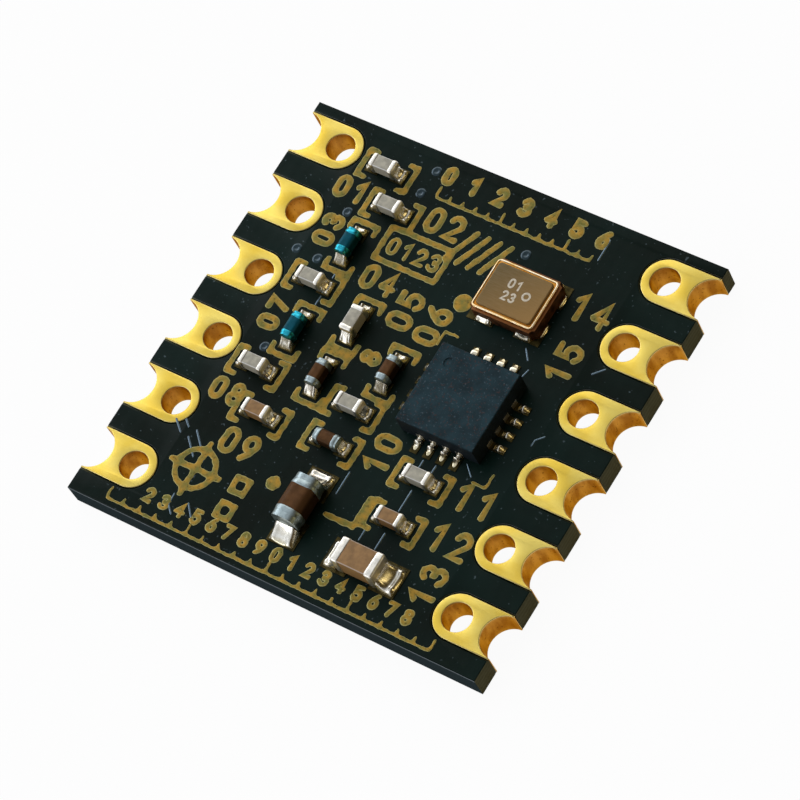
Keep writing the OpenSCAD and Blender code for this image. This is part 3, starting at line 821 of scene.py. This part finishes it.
def bead(bm, low, high, out, start, stop, wide, peak, tall, neck, crown, seed):
    """Drop of solder on a short land, highest at its peak, with a neck that climbs the lead tip."""
    stations, around = 20, 12
    foot, across, reach, width, rise = joint(low, high, out)
    plump = 1 + 0.1 * noise.noise((low + high) / 2 * seed)
    rings = []
    for i in range(stations + 1):
        t = i / stations
        drop = hump(t - peak, 0.23 if neck else 0.34)
        nose = math.sqrt(max(1 - max((t - peak) / (1 - peak), 0.0) ** 2, 0.004))
        body = rise * tall * plump * (0.08 + 0.92 * drop) * nose
        climb = max(1 - t / 0.4, 0.0) ** 2.2
        height = body + max(neck * rise - body, 0.0) * climb
        broad = width * wide / 2 * (0.72 + 0.26 * drop) * nose
        centre = foot + out * (reach * (start + (stop - start) * t))
        turns = [math.pi * k / around for k in range(around + 1)]
        rings.append([centre + across * (math.cos(a) * broad) + UP * (math.sin(a) ** crown * height)
                      for a in turns])
    loft(bm, rings)


# Sections of a raised stroke: sideways and height, against half its width and its height
RIDGE = [(-1.0, 0.0), (-0.82, 0.5), (-0.45, 0.88), (0.0, 1.0), (0.45, 0.88), (0.82, 0.5), (1.0, 0.0)]
PRINT = [(-1.0, 0.0), (-0.86, 0.4), (-0.65, 0.72), (-0.36, 0.94), (0.0, 1.0), (0.36, 0.94), (0.65, 0.72),
         (0.86, 0.4), (1.0, 0.0)]


def sweep(bm, points, half, height, profile, closed=False, base=TOP):
    """Raised stroke along a line on a level face, with round ends."""
    points = [Vector((x, y, 0.0)) for x, y in points]
    ahead = [(b - a).normalized() for a, b in zip(points, points[1:] + points[:1])]
    behind = ahead[-1:] + ahead[:-1]
    if not closed:
        behind[0], ahead[-1] = ahead[0], behind[-1]
    stations = []
    for point, a, b in zip(points, behind, ahead):
        heading = (a + b).normalized()
        stations.append((point, heading, 1.0 / max(heading.dot(b), 0.62)))
    if not closed:
        first, last = stations[0], stations[-1]
        for turn in map(math.radians, (18, 40, 65, 88)):
            beyond, narrow = half * math.sin(turn), math.cos(turn)
            stations.insert(0, (first[0] - first[1] * beyond, first[1], narrow))
            stations.append((last[0] + last[1] * beyond, last[1], narrow))
    rings = []
    for point, heading, widen in stations:
        side = Vector((-heading.y, heading.x, 0.0))
        rings.append([point + side * (s * half * widen) + UP * (base + h * height) for s, h in profile])
    loft(bm, rings, closed)


# Plain digits as strokes in a box 0.6 wide and 1 high; a stroke marked True runs round to its start.
DIGIT_WIDTH, DIGIT_STEP = 0.6, 0.79
DIGITS = {
    "0": [(arc(0.3, 0.3, 0.27, 0.3, 180, 360, 8) + arc(0.3, 0.7, 0.27, 0.3, 0, 180, 8), True)],
    "1": [([(0.1, 0.76), (0.36, 1.0), (0.36, 0.0)], False)],
    "2": [(arc(0.3, 0.72, 0.27, 0.28, 165, -35, 9) + [(0.04, 0.0), (0.58, 0.0)], False)],
    "3": [(arc(0.28, 0.74, 0.25, 0.26, 155, -90, 9), False),
          (arc(0.28, 0.27, 0.29, 0.27, 90, -155, 10), False)],
    "4": [([(0.44, 0.0), (0.44, 1.0), (0.03, 0.32)], False), ([(0.03, 0.32), (0.6, 0.32)], False)],
    "5": [([(0.54, 1.0), (0.1, 1.0), (0.07, 0.54)] + arc(0.29, 0.32, 0.29, 0.32, 115, -150, 10), False)],
    "6": [([(0.47, 1.0), (0.2, 0.68), (0.06, 0.4)], False), (arc(0.3, 0.3, 0.27, 0.3, 0, 345, 15), True)],
    "7": [([(0.03, 1.0), (0.57, 1.0), (0.22, 0.0)], False)],
    "8": [(arc(0.3, 0.27, 0.28, 0.27, 0, 345, 15), True), (arc(0.3, 0.77, 0.23, 0.23, 0, 345, 15), True)],
    "9": [(arc(0.3, 0.7, 0.27, 0.3, 0, 345, 15), True), ([(0.54, 0.6), (0.42, 0.3), (0.15, 0.0)], False)],
}

# Numbers: digits, centre in millimetres, quarter turn, height against the usual one
NUMBERS = [
    ("01", -5.17, 5.34, 0, 0.88), ("02", -1.5, 5.46, 0, 1.0), ("03", -5.03, 3.72, 1, 0.85),
    ("04", -2.43, 2.84, 0, 0.95), ("05", -0.97, 2.2, 1, 1.0), ("06", 0.16, 2.1, 1, 1.0),
    ("07", -5.05, 0.36, 1, 0.85), ("08", -4.96, -2.62, 0, 0.88), ("09", -3.5, -4.07, 0, 1.0),
    ("10", 1.09, -2.46, 1, 1.0), ("11", 4.74, -2.57, 0, 1.05), ("12", 4.73, -4.1, 0, 1.05),
    ("13", 4.93, -5.7, 1, 1.0), ("14", 4.66, 4.66, 0, 1.05), ("15", 4.84, 2.69, 1, 1.0),
    ("8", -1.12, 0.3, 1, 0.8), ("0123", -1.85, 4.1, 0, 0.68),
]
# The numbers of the rules at the back and at the front
NUMBERS += [(str(k), -2.3 + k, 7.06, 0, 0.74) for k in range(7)]
NUMBERS += [(str(k % 10), -0.2 + 0.635 * (k - 10), -6.83, 0, 0.58) for k in range(2, 19)]

# Copper that shows through the mask, in millimetres
TRACES = [
    [(-5.95, -4.17), (-5.55, -4.5)], [(-5.62, -4.05), (-5.4, -4.23)], [(-5.2, -4.55), (-4.66, -5.06)],
    [(-5.06, -4.24), (-4.58, -4.7), (-4.26, -5.05)], [(-4.49, -6.45), (-4.46, -6.83), (-4.2, -7.08)],
    [(-3.85, -6.54), (-3.38, -7.04)], [(2.69, -3.1), (2.69, -3.86)], [(2.69, -4.72), (2.69, -5.3)],
    [(2.03, -4.76), (2.03, -5.25)], [(0.47, -3.4), (0.47, -4.2)], [(2.47, -2.05), (2.47, -2.3)],
    [(2.95, -2.05), (2.95, -2.32)], [(3.86, -1.56), (4.2, -1.88)], [(3.46, 2.68), (3.72, 2.36)],
    [(3.86, 1.8), (3.92, 2.05)], [(5.9, 2.78), (6.2, 3.08)], [(5.42, -0.16), (5.42, 0.04), (5.64, 0.26)],
    [(3.95, 6.35), (3.95, 7.1)], [(-3.9, 2.62), (-3.9, 2.3)], [(-3.9, 1.25), (-3.9, 1.55)],
]
VIAS = [(-2.78, 7.05), (-2.85, 6.15), (-4.78, 4.57), (-4.78, 2.7), (-5.65, 2.75), (1.65, 5.58),
        (-4.65, -0.75)]
# Section of a covered via, against its radius and height
DIMPLE = [(1.0, 0.0), (0.85, 0.7), (0.68, 1.0), (0.5, 0.95), (0.32, 0.3), (0.12, 0.1)]


def put_number(bm, text, x, y, quarter, high, half, thick, base=TOP):
    """A number centred on a point, reading along X or up along Y."""
    wide = (DIGIT_STEP * (len(text) - 1) + DIGIT_WIDTH) * high
    turn = Matrix.Rotation(quarter * math.pi / 2, 2)
    for k, digit in enumerate(text):
        for layer, (line, closed) in enumerate(DIGITS[digit]):
            spots = []
            for px, py in line:
                flat = turn @ Vector((px * (high - 2 * half) + half + k * DIGIT_STEP * high - wide / 2,
                                      py * (high - 2 * half) + half - high / 2))
                spots.append((x + flat.x, y + flat.y))
            # Strokes that cross lie at different heights.
            sweep(bm, spots, half, thick * (1.06 + 0.06 * layer), PRINT, closed, base)


def ragged(point, wander):
    """How far a printed edge strays at a point."""
    spot = Vector((point.x, point.y, 0.0)) / RAGGED
    return Vector((noise.noise(spot), noise.noise(spot + Vector((17.0, 5.0, 0.0))))) * wander


def softened(points, step, wander):
    """A closed line with points at each step, rounded corners and a slightly ragged run."""
    fine = []
    for k, point in enumerate(points):
        after = points[(k + 1) % len(points)]
        count = max(round((after - point).length / step), 1)
        fine += [point.lerp(after, j / count) for j in range(count)]
    passes = 3
    for _ in range(passes):
        fine = [(p + (fine[k - 1] + fine[(k + 1) % len(fine)]) / 2) / 2 for k, p in enumerate(fine)]
    return [point + ragged(point, wander) for point in fine]


def soft_print(node, step, width, wander):
    """Printed solids with soft corners and slightly ragged edges."""
    source = copy_of(node)
    low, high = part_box(node)
    bm = bmesh.new()
    for _, loops in flat_islands(source, high.z, 1):
        outlines = [softened([v.co.xy.copy() for v in loop], step, wander) for loop in loops]
        # The rim slopes as far in as it can without crossing itself.
        for spread in (2.8, 2.2, 1.7, 1.3, 1.0, 0.7, 0.4):
            if triangles([inset(outline, width * spread) for outline in outlines]) is not None:
                break
        tops, bases = [], []
        for outline in outlines:
            base, rim = ([bm.verts.new((p.x, p.y, z)) for p in outline] for z in (low.z, high.z))
            strip(bm, base, rim)
            bases.append(base)
            tops.append(round_rim(bm, rim, high.z, 1, width, spread))
        fill(bm, tops)
        fill(bm, bases)
    source.free()
    return bm


class MODULE_OT_board(bpy.types.Operator):
    """Board with eased mask edges and the copper that shows through the mask"""
    bl_idname = "transceiver_module.board"
    bl_label = "Circuit board"

    def execute(self, context):
        look = context.scene.module_board
        node = "printed_circuit_board"
        piece("masked_board", rounded_plate(node, look.edge_ease), mask_on_glass_laminate(look), [node],
              even=True)
        bm = bmesh.new()
        for line in TRACES:
            sweep(bm, [(x * MM, y * MM) for x, y in line], look.trace_width / 2, look.trace_height, RIDGE)
        piece("masked_traces", bm, mask_over_copper("solder_mask_over_traces", look, 1.85),
              slot="masked_laminate", crease=60)
        bm = bmesh.new()
        rows = [(look.via_radius * share, look.via_height * rise) for share, rise in DIMPLE]
        for x, y in VIAS:
            turned(bm, x * MM, y * MM, TOP, rows)
        piece("masked_vias", bm, mask_over_copper("solder_mask_over_vias", look, 1.4),
              slot="masked_laminate", crease=60)
        return {"FINISHED"}


class MODULE_OT_edge_pads(bpy.types.Operator):
    """Plated edge pads with rounded rims"""
    bl_idname = "transceiver_module.edge_pads"
    bl_label = "Edge pads"

    def execute(self, context):
        look = context.scene.module_pads
        gold = immersion_gold("immersion_gold_on_copper", look.gold_deep, look.gold_pale, look.wall_dark,
                              look.wall_pale, look.rim)
        for node in EDGE_PADS:
            piece(f"gold_{node}", rounded_plate(node, look.edge_ease), gold, [node], even=True)
        return {"FINISHED"}


class MODULE_OT_chips(bpy.types.Operator):
    """Chips: ceramic or ferrite bars with plated end caps"""
    bl_idname = "transceiver_module.chips"
    bl_label = "Chip capacitors and inductors"

    def execute(self, context):
        look = context.scene.module_chips
        bodies = {}
        # The edges and sides of a body lean towards a tone, each by its share: towards white on the pale
        # bodies' edges as painted highlight, towards black on the dark bodies' edges and sides as painted
        # shade.
        for slot, name, base, gloss, shine, tone, edge, side in (
                ("sand_ceramic", "fired_sand_dielectric", look.sand, (0.3, 0.42), 0.45, WHITE, 0.55, 0.0),
                ("tan_ceramic", "fired_tan_dielectric", look.tan, (0.3, 0.42), 0.3, WHITE, 0.3, 0.0),
                ("teal_ceramic", "glazed_teal_ceramic", look.teal, (0.26, 0.4), 0.06, BLACK, 0.15, 0.5),
                ("umber_ferrite", "coated_umber_ferrite", look.umber, (0.36, 0.5), 0.06, BLACK, 0.3, 0.75)):
            bodies[slot] = fired_ceramic(name, base, gloss, shine, between(base, tone, edge),
                                         between(base, tone, side))
        caps = {"tin_plate": tin_plate("matt_tin_plate", look.tin, (0.3, 0.46)),
                "teal_tin": tin_plate("teal_glazed_end_caps", look.teal_tin, (0.28, 0.42)),
                "dull_tin": tin_plate("dull_plated_end_caps", look.dull_tin, (0.34, 0.5))}
        for name in CAPACITORS + INDUCTORS:
            chip = Chip(name)
            round_end = look.end_ease if name in CAPACITORS else look.coil_ease * chip.half_w
            body, ends = f"{name}_body", f"{name}_ends"
            piece(f"{name}_bar", chip_body(chip, round_end), bodies[SLOT_OF[body]], [body])
            piece(f"{name}_caps", chip_caps(chip, round_end, look.lip_wave), caps[SLOT_OF[ends]], [ends])
        return {"FINISHED"}


class MODULE_OT_package(bpy.types.Operator):
    """Transceiver package with its lead tips"""
    bl_idname = "transceiver_module.package"
    bl_label = "Transceiver package"

    def execute(self, context):
        look = context.scene.module_package
        # Only its outline is eased, not the edge of the dimple that marks the first lead.
        bm = eased_block("transceiver_body", look.edge_ease, beyond=1.4 * MM)
        piece("moulded_package", bm, moulded_epoxy(look), ["transceiver_body"], even=True)
        tin = tin_plate("tin_lead_tips", context.scene.module_chips.tin, (0.3, 0.46))
        for node in ("transceiver_leads", "transceiver_ground_pad"):
            paint_solid(node, tin)
        return {"FINISHED"}


class MODULE_OT_crystal(bpy.types.Operator):
    """Crystal: ceramic base, gold seal ring, rolled lid, terminals and quartz blank"""
    bl_idname = "transceiver_module.crystal"
    bl_label = "Crystal"

    def execute(self, context):
        look = context.scene.module_crystal
        gold = immersion_gold("brazed_gold_seal_ring", look.ring_deep, look.ring_pale, look.ring_deep,
                              look.ring_pale, look.ring_pale)
        for node, finish, width in (("crystal_base", dark_alumina(look), look.base_ease),
                                    ("crystal_ring", gold, look.edge_ease),
                                    ("crystal_lid", plated_lid(look), look.edge_ease)):
            piece(f"{node}_eased", eased_block(node, width, steps=4), finish, [node], even=True)
        self.seam(look)
        self.marks(look)
        paint_solid("crystal_terminals", gold)
        # A pale grey, finely lapped plate, hidden in the package.
        quartz = Finish("lapped_quartz", *shades(look.quartz, 0.1), patch=0.3, grain=0.03, depth=0.001,
                        roughness=(0.2, 0.35))
        paint_solid("crystal_blank", quartz.material)
        return {"FINISHED"}

    def seam(self, look):
        """Weld seam round the lid."""
        low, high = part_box("crystal_ring")
        middle, half = (low + high) / 2, 0.036 * MM
        line = rounded_ring((high.x - low.x) / 2 - half, (high.y - low.y) / 2 - half, 0.11 * MM)
        bm = bmesh.new()
        sweep(bm, [(middle.x + x, middle.y + y) for x, y in line], half, 0.03 * MM, RIDGE, closed=True,
              base=high.z)
        # A bright bead of melted gold, paler in patches.
        seam = Finish("welded_gold_seam", look.seam_deep, look.seam_pale, patch=0.3, grain=0.05,
                      depth=0.0012, roughness=(0.24, 0.36), sockets={"Metallic": 1.0})
        piece("lid_weld_seam", bm, seam.material, slot="gold_plate", crease=70)

    def marks(self, look):
        """Two numbers and a ring, etched on the lid."""
        low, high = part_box("crystal_lid")
        middle = (low + high) / 2
        bm = bmesh.new()
        for text, y in (("01", 0.26), ("23", -0.2)):
            put_number(bm, text, middle.x - 0.12 * MM, middle.y + y * MM, quarter=0, high=0.36 * MM,
                       half=0.035 * MM, thick=look.mark_depth, base=high.z)
        rows = [(radius * MM, rise * look.mark_depth)
                for radius, rise in ((0.16, 0.0), (0.15, 1.0), (0.1, 1.0), (0.09, 0.0))]
        turned(bm, middle.x + 0.44 * MM, middle.y + 0.02 * MM, high.z, rows, ring_round=True)
        # Pale and dull, where the beam has roughened the plating.
        etched = Finish("laser_etched_lid_marks", *shades(look.mark, 0.2), patch=0.06, grain=0.03,
                        depth=0.001, roughness=(0.6, 0.75))
        piece("lid_marks", bm, etched.material, slot="nickel_lid")


class MODULE_OT_solder(bpy.types.Operator):
    """Solder joints of the chips, the package and the crystal"""
    bl_idname = "transceiver_module.solder"
    bl_label = "Solder joints"

    def execute(self, context):
        look = context.scene.module_solder
        solder = reflowed_solder(look)
        # Painted shade: the tinned lands are painted a dull, near-black brown, so that they read as the
        # shade round the parts.
        tinned = Finish("tinned_copper_lands", look.land_dull, look.land_warm, patch=0.2, grain=0.06,
                        depth=0.002, roughness=(0.4, 0.55), sockets={"Metallic": 1.0})
        paint_solid("component_lands", tinned.material)
        self.chips = [Chip(name) for name in CAPACITORS + INDUCTORS]
        for node, name, join in (("chip_solder", "chip_menisci", self.at_chip),
                                 ("crystal_solder", "crystal_menisci", self.at_crystal),
                                 ("transceiver_solder", "package_beads", self.at_package)):
            bm = bmesh.new()
            for low, high in islands(node):
                join(bm, low, high, (low + high) / 2)
            piece(name, bm, solder, [node], crease=70)
        return {"FINISHED"}

    def at_chip(self, bm, low, high, spot):
        """Hollow fillet at the end of the nearest chip."""
        chip = min(self.chips, key=lambda c: (c.centre.xy - spot.xy).length)
        meniscus(bm, low, high, outwards(spot - chip.centre, chip.along_y))

    def at_crystal(self, bm, low, high, spot):
        """Flat drop on the crystal's right side, hollow fillet on the others."""
        body_low, body_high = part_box("crystal_base")
        out = outwards(spot - (body_low + body_high) / 2, body_low.x <= spot.x <= body_high.x)
        if out.x > 0:
            bead(bm, low, high, out, **FLAT_DROP)
        else:
            meniscus(bm, low, high, out)

    def at_package(self, bm, low, high, spot):
        """Drop at a lead tip of the package."""
        body_low, body_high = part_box("transceiver_body")
        away = spot - (body_low + body_high) / 2
        out = outwards(away, abs(away.x) <= abs(away.y))
        shape = BACK_DROP if out.y > 0 else FRONT_DROP if out.y < 0 else SIDE_DROP
        bead(bm, low, high, out, **shape)


class MODULE_OT_legend(bpy.types.Operator):
    """Printed legend: marks and plain numbers"""
    bl_idname = "transceiver_module.legend"
    bl_label = "Legend"

    def execute(self, context):
        look = context.scene.module_legend
        ink = printed_ink(look)
        marks = soft_print("legend_ink", step=0.06 * MM, width=0.018 * MM, wander=look.wander)
        piece("printed_marks", marks, ink, ["legend_ink"], crease=60)
        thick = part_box("legend_ink")[1].z - TOP
        bm = bmesh.new()
        for text, x, y, quarter, scale in NUMBERS:
            # Small digits have thinner strokes.
            half = look.stroke * (0.5 if scale > 0.7 else 0.36)
            put_number(bm, text, x * MM, y * MM, quarter, look.digit_height * scale, half, thick)
        for vert in bm.verts:
            vert.co += ragged(vert.co, look.wander).to_3d()
        piece("printed_numbers", bm, ink, slot="legend_ink", crease=60)
        return {"FINISHED"}


class MODULE_OT_stage(bpy.types.Operator):
    """Floor, soft light and camera"""
    bl_idname = "transceiver_module.stage"
    bl_label = "Stage"

    def execute(self, context):
        look = context.scene.module_stage
        context.scene.view_settings.view_transform = "Standard"
        self.floor(context.scene, look)
        self.room(context.scene, look)
        cool, warm, white = lin("#f2f6ff"), lin("#ffe7a4"), lin("#fffcf6")
        for name, watts, tint, spot, wide, high in (
                ("key_soft_box", look.key_power, cool, (-0.56, 0.06, 0.3), 0.6, 0.32),
                ("back_soft_box", look.back_power, white, (-0.32, 0.52, 0.4), 0.6, 0.4),
                ("front_soft_box", look.front_power, cool, (-0.3, -0.52, 0.16), 0.3, 0.2),
                ("rim_soft_box", look.rim_power, warm, (0.52, 0.2, 0.24), 0.12, 0.2)):
            data = bpy.data.lights.new(name, "AREA")
            data.shape, data.size, data.size_y, data.energy = "RECTANGLE", wide, high, watts
            data.color = tint[:3]
            obj = bpy.data.objects.new(name, data)
            obj.location = spot
            obj.rotation_euler = (UP * TOP - Vector(spot)).to_track_quat("-Z", "Y").to_euler()
            obj.visible_camera = False
            context.scene.collection.objects.link(obj)
        self.camera(context.scene, look)
        return {"FINISHED"}

    def floor(self, scene, look):
        """Wide pale floor that stays white to the eye and keeps a soft shadow."""
        half, below = 1.5, 0.01 * MM
        bm = bmesh.new()
        bmesh.ops.create_grid(bm, x_segments=8, y_segments=8, size=half)
        mesh = bpy.data.meshes.new("studio_floor")
        bm.to_mesh(mesh)
        bm.free()
        material = bpy.data.materials.new("matt_white_studio_floor")
        material.use_nodes = True
        tree = material.node_tree
        shader = tree.nodes["Principled BSDF"]
        shader.inputs["Roughness"].default_value = 0.9
        where = add(tree, "TexCoord", out="Object")
        cloud = add(tree, "TexNoise", {"Scale": 4.0, "Detail": 2.0, "Vector": where})
        stops = [(0.3, between(look.floor, BLACK, 0.02)), (0.7, look.floor)]
        tree.links.new(add(tree, "ValToRGB", {"stops": stops, "Fac": cloud}), shader.inputs["Base Color"])
        glow = add(tree, "Emission", {"Color": WHITE, "Strength": 1.0})
        rays = add(tree, "LightPath").node.outputs
        seen = rays["Is Camera Ray"]
        for ray in ("Is Glossy Ray", "Is Transmission Ray"):
            seen = add(tree, "Math", {"operation": "ADD", "use_clamp": True, 0: seen, 1: rays[ray]})
        share = add(tree, "Math", {"operation": "MULTIPLY", 0: seen, 1: 0.95})
        pale = add(tree, "MixShader", {0: share, 1: shader.outputs["BSDF"], 2: glow})
        # Clear from below, so that the underside of the module can be looked at.
        skin = add(tree, "MixShader", {0: add(tree, "NewGeometry", out="Backfacing"), 1: pale,
                                       2: add(tree, "BsdfTransparent")})
        tree.links.new(skin, tree.nodes["Material Output"].inputs["Surface"])
        mesh.materials.append(material)
        obj = bpy.data.objects.new("studio_floor", mesh)
        obj.location.z = -below
        scene.collection.objects.link(obj)

    def room(self, scene, look):
        """Room light that is bright and cool on the left, dim and warm on the right."""
        scene.world = bpy.data.worlds.new("soft_room")
        scene.world.use_nodes = True
        tree = scene.world.node_tree
        where = add(tree, "TexCoord", out="Generated")
        bright = (-0.93, -0.2, 0.31)
        side = add(tree, "VectorMath", {"operation": "DOT_PRODUCT", 0: where, 1: bright}, "Value")
        tone = add(tree, "MapRange", {"From Min": -0.1, "From Max": 0.38, "Value": side})
        mixed = add(tree, "Mix", {"data_type": "RGBA", 0: tone, 6: look.world_right, 7: look.world_left})
        tree.links.new(mixed, tree.nodes["Background"].inputs["Color"])

    def camera(self, scene, look):
        """Camera at the photograph's viewing angle."""
        target = Vector((0.60087, -0.5449, 1.0)) * MM
        back = Vector((math.sin(look.azimuth) * math.cos(look.elevation),
                       -math.cos(look.azimuth) * math.cos(look.elevation), math.sin(look.elevation)))
        level_right = Vector((math.cos(look.azimuth), math.sin(look.azimuth), 0.0))
        right = level_right * math.cos(look.roll) + back.cross(level_right) * math.sin(look.roll)
        data = bpy.data.cameras.new("camera")
        data.lens, data.sensor_width, data.clip_start, data.clip_end = look.lens, 36.0, 0.005, 20.0
        obj = bpy.data.objects.new("camera", data)
        turn = Matrix((right, back.cross(right), back)).transposed().to_4x4()
        obj.matrix_world = Matrix.Translation(target + back * look.distance) @ turn
        scene.collection.objects.link(obj)
        scene.camera = obj


class MODULE_PT_panel(bpy.types.Panel):
    """Lists the pieces of the module and their settings"""
    bl_idname = "MODULE_PT_panel"
    bl_label = "Transceiver module"
    bl_space_type = "VIEW_3D"
    bl_region_type = "UI"
    bl_category = "Module"

    def draw(self, context):
        for operator in OPERATORS:
            self.layout.operator(operator.bl_idname)
        for name, look in LOOKS.items():
            self.layout.label(text=look.__doc__)
            for setting in look.__annotations__:
                self.layout.prop(getattr(context.scene, name), setting)


LOOKS = {"module_board": BoardLook, "module_pads": PadLook, "module_chips": ChipLook,
         "module_solder": SolderLook, "module_package": PackageLook, "module_crystal": CrystalLook,
         "module_legend": LegendLook, "module_stage": StageLook}
OPERATORS = (MODULE_OT_board, MODULE_OT_edge_pads, MODULE_OT_chips, MODULE_OT_package, MODULE_OT_crystal,
             MODULE_OT_solder, MODULE_OT_legend, MODULE_OT_stage)


def register():
    """Adds the settings to the scene, then the operators and the panel."""
    for name, look in LOOKS.items():
        bpy.utils.register_class(look)
        setattr(bpy.types.Scene, name, PointerProperty(type=look))
    for cls in OPERATORS + (MODULE_PT_panel,):
        bpy.utils.register_class(cls)


def unregister():
    """Takes away what register added."""
    for cls in reversed(OPERATORS + (MODULE_PT_panel,)):
        bpy.utils.unregister_class(cls)
    for name, look in LOOKS.items():
        delattr(bpy.types.Scene, name)
        bpy.utils.unregister_class(look)


def main():
    """Dresses the module."""
    register()
    for operator in OPERATORS:
        group, name = operator.bl_idname.split(".")
        getattr(getattr(bpy.ops, group), name)()


if __name__ == "__main__":
    main()
